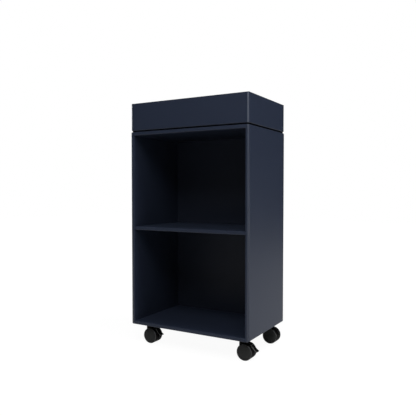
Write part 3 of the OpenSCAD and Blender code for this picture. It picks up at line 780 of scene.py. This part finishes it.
def moulded(node, body, slot, material, edge):
    """A moulded copy of a CAD node: sharp edges eased by edge metres, curves shaded smooth."""
    shape = bmesh.new()
    shape.from_mesh(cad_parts[node].data)
    bmesh.ops.remove_doubles(shape, verts=shape.verts, dist=COPY_WELD)
    bmesh.ops.dissolve_limit(shape, angle_limit=FLAT_TURN, verts=shape.verts, edges=shape.edges)
    for face in shape.faces:
        face.smooth = True
    for line in shape.edges:
        line.smooth = len(line.link_faces) == 2 and line.calc_face_angle() < CREASE_TURN
    piece = mesh_piece(node + "_moulding", shape, material)
    eased = piece.modifiers.new("eased_edges", "BEVEL")
    eased.width = edge
    eased.segments = EASING_STEPS
    eased.limit_method = "ANGLE"
    eased.angle_limit = CREASE_TURN
    eased.use_clamp_overlap = True
    eased.harden_normals = True
    stand_for(piece, body, slot, node)


def make_mouldings(hood, pedal):
    for corner in CASTERS:
        moulded(corner + "_hood", corner + "_fork", "caster_plastic", hood, HOOD_EASING)
    for corner in BRAKED:
        moulded(corner + "_brake_pedal", corner + "_pedal", "caster_plastic", pedal, PEDAL_EASING)


def dress(material, *names):
    """Gives CAD nodes their finish."""
    for name in names:
        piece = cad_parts[name]
        piece.data.materials.clear()
        piece.data.materials.append(material)


def dress_cabinet(steel):
    dress(navy_lacquer("navy_lacquer", NAVY),
          "left_side_board", "right_side_board", "top_board", "bottom_board", "middle_shelf",
          "box_front_wall", "box_back_wall", "box_left_wall", "box_right_wall", "box_floor")
    # The back board's lacquer is painted darker, as painted shade
    dress(navy_lacquer("back_lacquer", BACK_NAVY_PAINTED_SHADE), "back_board")
    dress(gap_black(), "box_spacer")
    dress(birch_plywood(), "cabinet_feathers", "box_feathers")
    dress(liner_plastic(), "box_liner")
    dress(cap_plastic(), "screw_caps")
    dress(steel, "shelf_pins", "box_screws")


def dress_casters(steel):
    for corner in CASTERS:
        dress(steel, *(corner + end for end in ("_plate", "_kingpin", "_snap_ring", "_axle")))
    for corner in BRAKED:
        dress(steel, corner + "_brake_pin")


def white_share(ray, camera):
    """How much plain white a ray sees: camera for the camera's own, all for gloss and glass."""
    return (camera + ray.part("Is Glossy Ray") + ray.part("Is Transmission Ray")).clamped()


def floor_finish(name):
    """White to the camera and to gloss, a plain diffuse shade to the rest of the light."""
    finish = Finish(name)
    ray = finish.add("ShaderNodeLightPath", {}, out="Is Camera Ray")
    white = finish.add("ShaderNodeEmission", {}, Color=solid(WHITE), Strength=FLOOR_WHITE)
    lit = finish.add("ShaderNodeBsdfDiffuse", {}, Color=solid(scaled(WHITE, FLOOR_SHADE)))
    away = finish.place().vector_math("LENGTH", out="Value")
    plain = away.ramp(SHADOW_NEAR, SHADOW_FAR, low=NEAR_WHITE)
    mixed = finish.add("ShaderNodeMixShader", {}, white_share(ray, ray * plain), lit, white)
    finish.add("ShaderNodeOutputMaterial", {}, Surface=mixed)
    return finish.material


def build_floor():
    shape = bmesh.new()
    bmesh.ops.create_grid(shape, x_segments=1, y_segments=1, size=FLOOR_SIZE / 2)
    mesh_piece("studio_floor", shape, floor_finish("studio_floor"))


def build_dark_cards():
    """A ring of dark cards that only the gloss sees, as round a studio set."""
    card = Finish("studio_card").surface(Base_Color=solid(BLACK), Roughness=1.0, Specular_IOR_Level=0.0)
    middle = Matrix.Translation((0, 0, CARD_HEIGHT / 2 + CARD_FOOT))
    top = Matrix.Translation((0, 0, CARD_HEIGHT + CARD_FOOT))
    shape = bmesh.new()
    bmesh.ops.create_cone(shape, cap_ends=False, segments=CARD_SIDES, radius1=CARD_RADIUS,
                          radius2=CARD_RADIUS, depth=CARD_HEIGHT, matrix=middle)
    bmesh.ops.create_circle(shape, cap_ends=True, segments=CARD_SIDES, radius=CARD_RADIUS, matrix=top)
    cards = mesh_piece("studio_cards", shape, card)
    for kind in ("camera", "diffuse", "shadow", "transmission", "volume_scatter"):
        setattr(cards, "visible_" + kind, False)


def build_world():
    """White to the camera and to gloss, a faint light on everything else."""
    world = bpy.data.worlds.new("studio_world")
    bpy.context.scene.world = world
    world.use_nodes = True
    wiring = Wiring(world.node_tree)
    ray = wiring.add("ShaderNodeLightPath", {}, out="Is Camera Ray")
    white = wiring.add("ShaderNodeBackground", {}, Color=solid(WHITE), Strength=1.0)
    light = wiring.add("ShaderNodeBackground", {}, Color=solid(WHITE), Strength=AMBIENT)
    mixed = wiring.add("ShaderNodeMixShader", {}, white_share(ray, ray), light, white)
    wiring.add("ShaderNodeOutputWorld", {}, mixed)


def build_lamps():
    for name, (place, size, power) in (LAMPS | GLEAMS).items():
        lamp = bpy.data.lights.new(name, "AREA")
        lamp.shape = "RECTANGLE"
        lamp.size, lamp.size_y = size
        lamp.energy = power
        if name in GLEAMS:
            lamp.color = GLEAM_TINT
        holder = in_scene(name, lamp)
        holder.location = place
        holder.rotation_euler = (Vector(AIM) - Vector(place)).to_track_quat("-Z", "Y").to_euler()
        holder.visible_diffuse = name not in GLEAMS


def build_camera():
    lens = bpy.data.cameras.new("camera")
    lens.lens = CAMERA_LENS
    lens.sensor_width = CAMERA_SENSOR
    camera = in_scene("camera", lens)
    camera.location = CAMERA_PLACE
    camera.rotation_euler = (CAMERA_TILT, 0, CAMERA_TURN)
    bpy.context.scene.camera = camera


bpy.context.scene.view_settings.view_transform = "Standard"
build_camera()
build_floor()
build_dark_cards()
build_world()
build_lamps()

steel = zinc_steel()
dress_cabinet(steel)
dress_casters(steel)
make_wheels({corner: wheel_nylon(corner) for corner in CASTERS})
make_mouldings(hood_nylon(), pedal_nylon())
make_plate_screws(steel)
